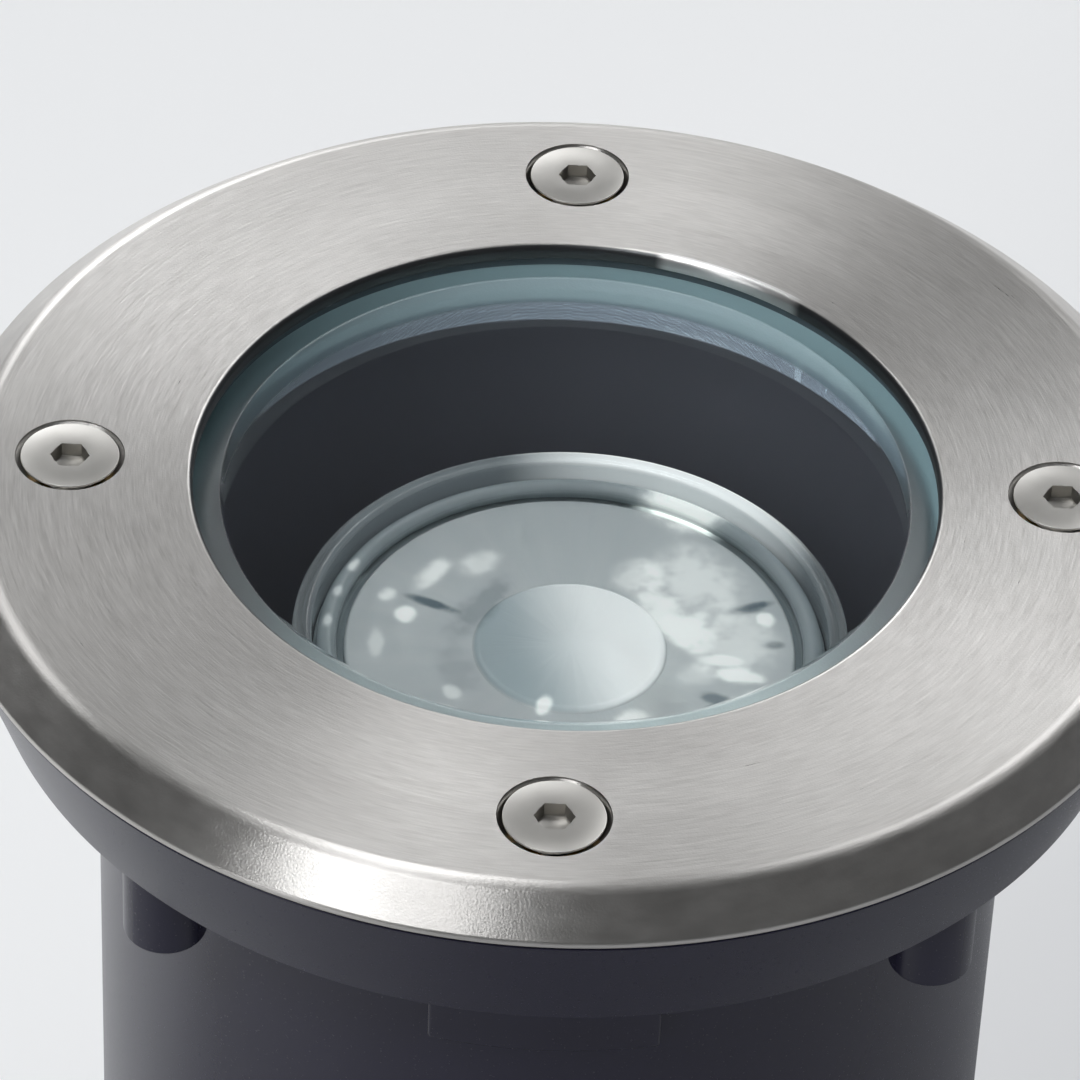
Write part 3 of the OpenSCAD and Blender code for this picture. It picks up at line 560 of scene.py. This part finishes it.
def eased(mesh, edges, size):
    """Rounds some edges of the mesh by so many millimetres."""
    bmesh.ops.bevel(mesh, geom=edges, offset=size * MM, offset_type="OFFSET", segments=3,
                    profile=0.5, affect="EDGES", material=-1)


def turned(points, rounds=(), steps=256, at=(0, 0, 0)):
    """Spins an outline into a closed mesh, and puts its axis at a place in millimetres."""
    mesh = bmesh.new()
    section(mesh, points, rounds)
    spin(mesh, steps)
    bmesh.ops.translate(mesh, vec=Vector(at) * MM, verts=mesh.verts[:])
    return mesh


def added(mesh, other):
    """Puts a copy of the second mesh into the first."""
    spare = bpy.data.meshes.new("spare")
    other.to_mesh(spare)
    other.free()
    mesh.from_mesh(spare)
    bpy.data.meshes.remove(spare)
    return mesh


def piece(name, mesh, material):
    data = bpy.data.meshes.new(name)
    mesh.to_mesh(data)
    mesh.free()
    data.materials.append(material)
    made = bpy.data.objects.new(name, data)
    bpy.context.scene.collection.objects.link(made)
    return made


def settled(made):
    """Replaces the piece's mesh by what its modifiers make of it."""
    graph = bpy.context.evaluated_depsgraph_get()
    final = bpy.data.meshes.new_from_object(made.evaluated_get(graph))
    made.modifiers.clear()
    made.data = final
    return made


def carved(made, *cutters):
    """Cuts closed meshes out of the piece one by one, and splits the many-sided faces left."""
    for mesh in cutters:
        cutter = piece("cutter", mesh, steel_screw)
        knife = made.modifiers.new("cut", "BOOLEAN")
        knife.object = cutter
        knife.solver = "EXACT"
        settled(made)
        bpy.data.objects.remove(cutter)
    mesh = bmesh.new()
    mesh.from_mesh(made.data)
    bmesh.ops.dissolve_degenerate(mesh, dist=SPECK, edges=mesh.edges[:])
    many_sided = [f for f in mesh.faces if len(f.verts) > 4]
    bmesh.ops.triangulate(mesh, faces=many_sided, quad_method="BEAUTY", ngon_method="BEAUTY")
    bmesh.ops.dissolve_degenerate(mesh, dist=SPECK, edges=mesh.edges[:])
    mesh.to_mesh(made.data)
    mesh.free()
    return made


def smoothed(made, degrees=35):
    """Smooth shading with sharp corners past an angle, and normals weighted by face size."""
    made.data.shade_smooth()
    made.data.set_sharp_from_angle(angle=math.radians(degrees))
    weigh = made.modifiers.new("weigh", "WEIGHTED_NORMAL")
    weigh.keep_sharp = True
    weigh.weight = 100
    return settled(made)


def dressed(made, body, slot, *stands_for):
    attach(made, body)
    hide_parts(*stands_for)
    print(made.name, len(made.data.polygons), "faces")
    return made


# %% [markdown]
# ## The trim ring
#
# A press stamped the ring from 1.5 mm sheet and turned its rim down in a slope. The punch left
# the window's upper edge well rounded, and the countersinks have a finer one. The ring is spun
# from its section, and four cutters with a flared top make the screw holes and their lips.

# %% Spin the ring and cut its screw holes
WINDOW, RING, FLAT = 32.5, 55, 51.4
SHEET, SLOPE_DROP, RIM_DROP = 1.5, 3.1, 3.6
UNDER_FLAT, UNDER_RIM = 50.84, 53.28
SCREW_CIRCLE = 43.25
QUARTERS = [math.radians(a) for a in (270, 0, 90, 180)]


def at_screw(angle, height=TOP):
    """A point on the circle of the cover screws, in metres."""
    return Vector((math.cos(angle) * SCREW_CIRCLE, math.sin(angle) * SCREW_CIRCLE, height)) * MM


def hole_cutter():
    """Half the section of a screw hole, with the flare that leaves the rounded lip."""
    lip = [(0, 5), (0, -5), (3.4, -5), (3.4, -1.5), (4.75, -0.15), (4.75, 0.01), (6.2, 1.2),
           (6.2, 5)]
    return section(bmesh.new(), lip, [(5, 0.14, 3)])


def ring_mesh():
    outline = [(WINDOW, TOP - SHEET), (UNDER_FLAT, TOP - SHEET), (UNDER_RIM, TOP - RIM_DROP),
               (RING, TOP - RIM_DROP), (RING, TOP - SLOPE_DROP), (FLAT, TOP), (WINDOW, TOP)]
    rounds = [(0, 0.15, 3), (3, 0.12, 3), (4, 0.2, 4), (5, 0.8, 8), (6, 0.55, 8)]
    return turned(outline, rounds, 384)


ring = piece("trim_ring_dressed", ring_mesh(), steel_ring)
for angle in QUARTERS:
    cutter = spin(hole_cutter(), 96)
    bmesh.ops.translate(cutter, vec=at_screw(angle), verts=cutter.verts[:])
    carved(ring, cutter)
dressed(smoothed(ring), "cover", "trim_steel", "trim_ring")

# %% [markdown]
# ## The cover screws
#
# Each screw has a flat head with a hexagon socket. The head is a lathe piece too. The socket is
# a six sided prism with a cone below it, where the drill went before the socket was pressed.
# The thread is one small tooth, spun up the shank in a spiral.

# %% Turn, bore and thread the screws
SOCKET_CORNER, SOCKET_DEPTH = 1.732, 1.3


def thread_mesh(radius, depth, pitch, low, high):
    """A three sided tooth, spun in a spiral from one height to another."""
    mesh = bmesh.new()
    root = radius - depth
    tooth = [(root, low), (radius, low + pitch * 0.4), (root, low + pitch * 0.8)]
    corners = [mesh.verts.new((r * MM, 0, h * MM)) for r, h in tooth]
    tooth_face = mesh.faces.new(corners)
    turns = (high - low) / pitch
    steps = int(turns * 32)
    bmesh.ops.spin(mesh, geom=[tooth_face], cent=(0, 0, 0), axis=(0, 0, 1), angle=math.tau * turns,
                   steps=steps, dvec=(0, 0, pitch * MM * turns / steps))
    bmesh.ops.recalc_face_normals(mesh, faces=mesh.faces[:])
    return mesh


def prism(sides, radius, low, high, turn=0.0, top_radius=None):
    """An upright prism between two heights, or a cone if its top has another radius."""
    mesh = bmesh.new()
    bmesh.ops.create_cone(mesh, cap_ends=True, segments=sides, radius1=radius * MM,
                          radius2=(radius if top_radius is None else top_radius) * MM,
                          depth=(high - low) * MM)
    rotated(mesh, turn)
    bmesh.ops.translate(mesh, vec=(0, 0, (high + low) / 2 * MM), verts=mesh.verts[:])
    return mesh


def screw_mesh():
    outline = [(0, 0), (4.3, 0), (4.3, -0.15), (2.2, -1.95), (2.2, -13.4), (1.7, -14), (0, -14)]
    return turned(outline, [(1, 0.09, 3)], 128)


for angle, side in zip(QUARTERS, ("front", "right", "back", "left")):
    screw = piece("cover_screw_%s_dressed" % side, screw_mesh(), steel_screw)
    hexagon = prism(6, SOCKET_CORNER, -SOCKET_DEPTH, 1, math.radians(30))
    drill_point = prism(48, 0.0, -1.9, 0.01 - SOCKET_DEPTH, 0, 1.32)
    flare = prism(48, 1.35, -0.2, 0.4, 0, 1.95)
    carved(screw, hexagon, drill_point, flare)
    smoothed(screw, 30)
    mesh = bmesh.new()
    mesh.from_mesh(screw.data)
    added(mesh, thread_mesh(radius=2.5, depth=0.34, pitch=0.8, low=-13.3, high=-2.1))
    mesh.to_mesh(screw.data)
    mesh.free()
    screw.data.transform(Matrix.Translation(at_screw(angle)))
    dressed(screw, "screw_" + side, "screw_steel", "cover_screw_" + side)

# %% [markdown]
# ## The cover glass and its seal
#
# The glass is 6 mm thick, and its edge steps down so that the ring can grip it. The seal is one
# moulded silicone ring that wraps the edge of the glass and lines the mouth of the can.

# %% Spin the glass and the seal
GLASS_TOP, GLASS_STEP, GLASS_LOW = 143.3, 142.4, 137.3
glass_outline = [(0, GLASS_TOP), (30.1, GLASS_TOP), (32.7, GLASS_STEP), (35.5, GLASS_STEP),
                 (35.5, GLASS_LOW + 0.5), (35, GLASS_LOW), (0, GLASS_LOW)]
glass_mesh = turned(glass_outline, [(1, 0.25, 3), (3, 0.15, 2)])
glass = piece("cover_glass_dressed", glass_mesh, glass_cover)
dressed(smoothed(glass, 40), "cover", "cover_glass", "glass_disc")

seal_outline = [(32.9, 142.45), (35.55, 142.45), (35.55, 137.78), (35.02, 137.25), (32.2, 137.25),
                (32.2, 133.5), (32.8, 133.5), (32.8, 136.1), (37.1, 136.1), (37.1, 143.5),
                (32.9, 143.5)]
seal_rounds = [(0, 0.2, 3), (5, 0.15, 3), (10, 0.2, 3)]
seal = piece("glass_seal_dressed", turned(seal_outline, seal_rounds), milky_silicone)
dressed(smoothed(seal, 40), "cover", "seal_silicone", "glass_gasket")

# %% [markdown]
# ## The housing
#
# The can, its flange, the tapered skirt, the bosses and the pads are one moulding. The long
# section is spun first. Two cutters shape the cable notches in the standing rim, and then the
# bosses, their webs and the pads are set into the wall, where a moulding tool would fuse them.

# %% Spin the can
can_outline = [(37.4, 143.5), (50.44, 143.5), (53.23, 141.1), (54.8, 141.1), (50.8, 129.4),
               (50.3, 128.9), (49.1, 128.9), (48.6, 129.4), (52.6, 140.3), (41, 140.3), (41, 0.5),
               (40.5, 0), (38.2, 0), (38.2, 31), (8.2, 31), (8.2, 34), (38.2, 34), (38.2, 133.3),
               (32.2, 133.3), (32.2, 136.1), (37.4, 136.1)]
can_rounds = [(3, 0.25, 3), (5, 0.3, 3), (6, 0.3, 3), (9, 0.8, 4), (14, 0.2, 2), (18, 0.3, 3),
              (19, 0.2, 3)]
can = piece("housing_dressed", turned(can_outline, can_rounds), can_plastic)


def bar_along_x(radius, height):
    mesh = rotated(prism(64, radius, -60, 60), math.radians(90), "Y")
    bmesh.ops.translate(mesh, vec=(0, 0, height * MM), verts=mesh.verts[:])
    return mesh


def block(low, high, edge=0.0):
    """A box between two corners in millimetres, with its edges rounded."""
    mesh = bmesh.new()
    bmesh.ops.create_cube(mesh, size=1)
    size = Vector(high) - Vector(low)
    bmesh.ops.scale(mesh, vec=size * MM, verts=mesh.verts[:])
    bmesh.ops.translate(mesh, vec=(Vector(high) + Vector(low)) / 2 * MM, verts=mesh.verts[:])
    if edge:
        eased(mesh, mesh.edges[:], edge)
    return mesh


carved(can, bar_along_x(7, 7), block((-60, -7, -2), (60, 7, 7)))
for angle in QUARTERS:
    socket = prism(64, 3.5, 132.9, 150)
    bmesh.ops.translate(socket, vec=at_screw(angle, 0), verts=socket.verts[:])
    carved(can, socket)
print("can with its notches and sockets:", len(can.data.polygons), "faces")

# %% Set the bosses and pads into the can
FOOT_SCREW, BLOCK_SCREW, BOSS_CIRCLE = 27.75, 24, 46.25
BOSS_LOW, IN_FLANGE = 120.3, 140.8


def boss_mesh():
    """A tube with a web that joins it to the can."""
    tube = [(1.5, 134.3), (1.5, BOSS_LOW), (3.6, BOSS_LOW), (3.6, IN_FLANGE)]
    mesh = turned(tube, [(1, 0.2, 3), (2, 0.4, 4)], 64, (BOSS_CIRCLE, 0, 0))
    return added(mesh, block((39.6, -2.6, BOSS_LOW), (44.4, 2.6, IN_FLANGE), 0.35))


def pad_mesh():
    """A strip of the can's own curve, 1.4 mm proud, with rounded edges."""
    mesh = bmesh.new()
    half = math.asin(10 / 42.4)
    section(mesh, [(39.6, 116.7), (42.4, 116.7), (42.4, IN_FLANGE), (39.6, IN_FLANGE)])
    rotated(mesh, -half)
    start = mesh.faces[:]
    bmesh.ops.spin(mesh, geom=start, cent=(0, 0, 0), axis=(0, 0, 1), angle=2 * half, steps=16)
    bmesh.ops.recalc_face_normals(mesh, faces=mesh.faces[:])
    sharp = [e for e in mesh.edges if e.is_manifold and e.calc_face_angle() > 1]
    eased(mesh, sharp, 0.42)
    return mesh


def insert_boss_mesh():
    """The thick place under the flange that holds a brass insert."""
    outline = [(0, 128), (5, 128), (5, IN_FLANGE), (3.52, IN_FLANGE), (3.52, 132.9), (2.6, 132.9),
               (2.6, 129.5), (0, 129.5)]
    return turned(outline, [(1, 0.4, 3)], 64, (SCREW_CIRCLE, 0, 0))


def post_mesh(radius, bore, top, at):
    return turned([(bore, 33.9), (radius, 33.9), (radius, top), (bore, top)], [(2, 0.3, 2)], 48, at)


mesh = bmesh.new()
mesh.from_mesh(can.data)
for side in (-1, 1):
    added(mesh, post_mesh(4, 1.75, 38, (side * FOOT_SCREW, 0, 0)))
added(mesh, post_mesh(3.75, 1.5, 36, (LAMP_X, -BLOCK_SCREW, 0)))
for turn in range(4):
    parts = [(boss_mesh, turn * 90 + 45), (pad_mesh, turn * 90), (insert_boss_mesh, turn * 90)]
    for make, angle in parts:
        added(mesh, rotated(make(), math.radians(angle)))
mesh.to_mesh(can.data)
mesh.free()
dressed(smoothed(can, 32), "can", "housing_plastic", "housing")

# %% [markdown]
# ## The lamp
#
# The lamp has a clear glass bowl with a thick rim. Inside the rim lies a milky lens with a round
# bead at its edge and a plain disc in its middle. The facets under the lens show only as painted
# highlights and painted shade in soft patches, so the finish above carries them and the shape stays
# smooth.

# %% Spin the bowl
RIM, LAMP_R = 124.5, 24.75


def bowl_radius(share):
    """The bowl's outer radius at a share of its height: it widens fast at first, then slowly."""
    return 13 + (LAMP_R - 13) * (1 - (1 - share) ** 1.6)


BOWL_STEPS = 24
bowl_outer = [(bowl_radius(i / BOWL_STEPS), 90 + 30.5 * i / BOWL_STEPS)
              for i in range(BOWL_STEPS + 1)]
bowl_inner = [(r - 1.6, h) for r, h in reversed(bowl_outer) if 92 < h < 118.9]
bowl_rim = [(LAMP_R, RIM - 0.5), (LAMP_R - 0.5, RIM), (23, RIM), (23, 120.9), (19.5, 120.9),
            (19.5, 118.9)]
bowl_outline = bowl_outer + bowl_rim + bowl_inner + [(11.4, 92), (0, 92), (0, 90)]
first = len(bowl_outer)
bowl_rounds = [(first + 2, 0.6, 4), (first + 1, 0.2, 2), (first, 0.2, 2)]
bowl_mesh = turned(bowl_outline, bowl_rounds, 192, (LAMP_X, 0, 0))
bowl = piece("lamp_bowl_dressed", bowl_mesh, lamp_glass)
dressed(smoothed(bowl, 35), "lamp", "lamp_glass", "lamp_bowl")

# %% Shape the lens and its bead
lens_outline = [(0, LENS + 0.15), (8.2, LENS + 0.15), (8.7, LENS - 0.25), (18.7, LENS),
                (20.1, LENS), (20.2, LENS - 0.9), (22.9, LENS - 0.9), (22.9, 121), (18.7, 121),
                (9.75, 108.9), (6.045, 108.9), (6.045, 114.9), (0, 114.9)]
optic = turned(lens_outline, [(1, 0.3, 3), (4, 0.35, 4)], 96, (LAMP_X, 0, 0))
bead_outline = [(21.7, LENS + 1.2), (22.9, LENS), (21.7, LENS - 1.2), (20.5, LENS)]
bead_rounds = [(corner, 0.7, 4) for corner in range(4)]
bead = turned(bead_outline, bead_rounds, 192, (LAMP_X, 0, 0))
lens_piece = piece("lamp_lens_dressed", added(optic, bead), lens_milky)
dressed(smoothed(lens_piece, 25), "lamp", "lamp_glass", "lamp_lens")

# %% [markdown]
# ## Finishes for the measured pieces
#
# The pieces in the dark of the can are right as they were measured. Each only takes a finish,
# which goes into the slot that its measured object already has.

# %% Dress the measured pieces
kept = {
    "screw_inserts": brass, "lamp_led_board": board_white, "lamp_heatsink": aluminium,
    "lamp_cap": cap_plastic, "lamp_pins": zinc_plate, "lampholder": white_ceramic,
    "holder_contacts": spring_bronze, "holder_bracket": zinc_plate, "holder_screws": zinc_plate,
    "bracket_screws": zinc_plate, "terminal_block": block_plastic, "clamp_tubes": brass,
    "clamp_screws": zinc_plate, "block_screw": zinc_plate, "live_lead": brown_wire,
    "neutral_lead": blue_wire, "gland_body": gland_plastic, "gland_washer": black_rubber,
    "gland_locknut": gland_plastic, "gland_seal": black_rubber, "gland_nut": gland_plastic,
}
for name, material in kept.items():
    nodes[name].data.materials.clear()
    nodes[name].data.materials.append(material)
print("measured pieces with a new finish:", len(kept))

# %% [markdown]
# ## Floor, light and air
#
# A pale floor fills the picture. Its grey is painted darker at the right and behind as painted
# shade, and it looks paler to the camera than it is. Mirrors see only a part of that: far from the
# light and behind it, so beside and in front of the light they show a painted shadow and stay dark
# enough.
#
# Round the light hang soft panels: strong ones high on the left, wide ones behind and on the
# right, and almost nothing low in front. Each panel is a direction and a strength, and the air
# adds up the panels that it sees in a direction. A soft ceiling lights matt skins and whatever
# lies under the glass, but it leaves no reflection in the metal.

# %% Lay the floor
def pale_floor():
    finish = Finish("pale_floor")
    x, y, z = finish.axes()
    cloud = finish.noise(finish.place(), 3, 2)
    # Painted shade: the floor's grey is darker at the right and behind.
    right = (x - y * 0.5 + cloud * 0.02).within(-0.09, 0.12)
    right = right + y.within(0.05, 0.3) * 0.22
    # Painted shadow in reflections: mirrors see the floor's glow far from the light and behind it.
    far = from_axis(x, y).within(0.1, 0.18) * 0.4
    behind = (y - x * 0.5).within(0.03, 0.09) * 0.65
    tone = finish.mixed(right, shade(196, 197, 197), shade(148, 149, 151))
    seen = finish.node("ShaderNodeLightPath", output="Is Camera Ray")
    glossy = finish.node("ShaderNodeLightPath", output="Is Glossy Ray")
    lift = finish.mixed(right, beam(0.365, 0.365, 0.37), beam(0.36, 0.365, 0.375))
    lift = finish.mixed(seen + glossy * (far + behind), DARK, lift)
    return finish.done(Base_Color=tone, Roughness=0.9, Specular_IOR_Level=0.1,
                       Emission_Color=lift, Emission_Strength=1.0)


ground = bmesh.new()
bmesh.ops.create_grid(ground, x_segments=4, y_segments=4, size=6)
floor = piece("floor", ground, pale_floor())
print("floor with", len(floor.data.polygons), "faces")

# %% Light the room
# Each panel: the direction it is seen in, along x, y and z, and its strength.
PANELS = [
    (-0.43, -0.41, 0.81, 7.1), (-0.11, 0.36, 0.93, 5.5), (-0.22, -0.49, 0.84, 4.5),
    (-0.69, -0.69, 0.24, 3.2), (-0.19, 0.06, 0.98, 2.6), (-0.24, 0.90, 0.36, 2.7),
    (-0.53, 0.46, 0.71, 2.4), (0.33, 0.58, 0.75, 2.3), (-0.18, 0.94, 0.28, 2.2),
    (0.34, 0.68, 0.66, 2.2), (-0.05, 0.89, 0.46, 2.2), (0.21, 0.41, 0.89, 2.0),
    (0.32, 0.77, 0.56, 1.9), (-0.29, 0.84, 0.46, 1.8), (0.53, 0.62, 0.57, 1.3),
    (0.28, 0.48, 0.83, 1.3), (-0.53, 0.62, 0.57, 1.2), (-0.34, 0.68, 0.66, 1.1),
    (0.06, 0.98, 0.18, 0.9), (0.29, 0.84, 0.46, 0.8), (0.48, 0.77, 0.43, 0.8),
    (0.05, 0.89, 0.46, 0.7), (-0.33, 0.58, 0.75, 0.6), (0.31, 0.94, 0.14, 0.5),
    (-0.31, 0.94, 0.14, 0.5), (-0.40, 0.87, 0.28, 0.5),
]
PANEL_EDGE, PANEL_HEART = 8.5, 4.5
CEILING_EDGE, CEILING_HEART = 45, 25
AIR, BACKDROP = 0.06, 0.82


def aimed(sky, way, aim, edge, heart):
    """Runs from 0 to 1 between two angles in degrees from the direction aimed at."""
    settings = {"operation": "DOT_PRODUCT"}
    near = sky.node("ShaderNodeVectorMath", settings, {0: way, 1: aim}, "Value")
    return near.within(math.cos(math.radians(edge)), math.cos(math.radians(heart)))


def room():
    world = bpy.data.worlds.new("room")
    world.use_nodes = True
    sky = Finish("sky", world.node_tree)
    way = sky.node("ShaderNodeTexCoord", output="Generated")
    panels = 0.0
    for x, y, z, power in PANELS:
        aim = tuple(Vector((x, y, z)).normalized())
        panels = aimed(sky, way, aim, PANEL_EDGE, PANEL_HEART) * power + panels
    seen = sky.node("ShaderNodeLightPath", output="Is Camera Ray")
    glossy = sky.node("ShaderNodeLightPath", output="Is Glossy Ray")
    through = sky.node("ShaderNodeLightPath", output="Is Transmission Ray")
    mirrored = glossy * (1 - through)
    ceiling = aimed(sky, way, (0, 0, 1), CEILING_EDGE, CEILING_HEART) * (1 - mirrored)
    strength = seen * BACKDROP + (1 - seen) * (panels + ceiling + AIR)
    inputs = {"Color": (0.985, 1.0, 1.02, 1), "Strength": strength}
    sky.out("ShaderNodeOutputWorld", sky.node("ShaderNodeBackground", inputs=inputs))
    return world


bpy.context.scene.world = room()
bpy.context.scene.view_settings.view_transform = "Standard"
print("panels of light:", len(PANELS))
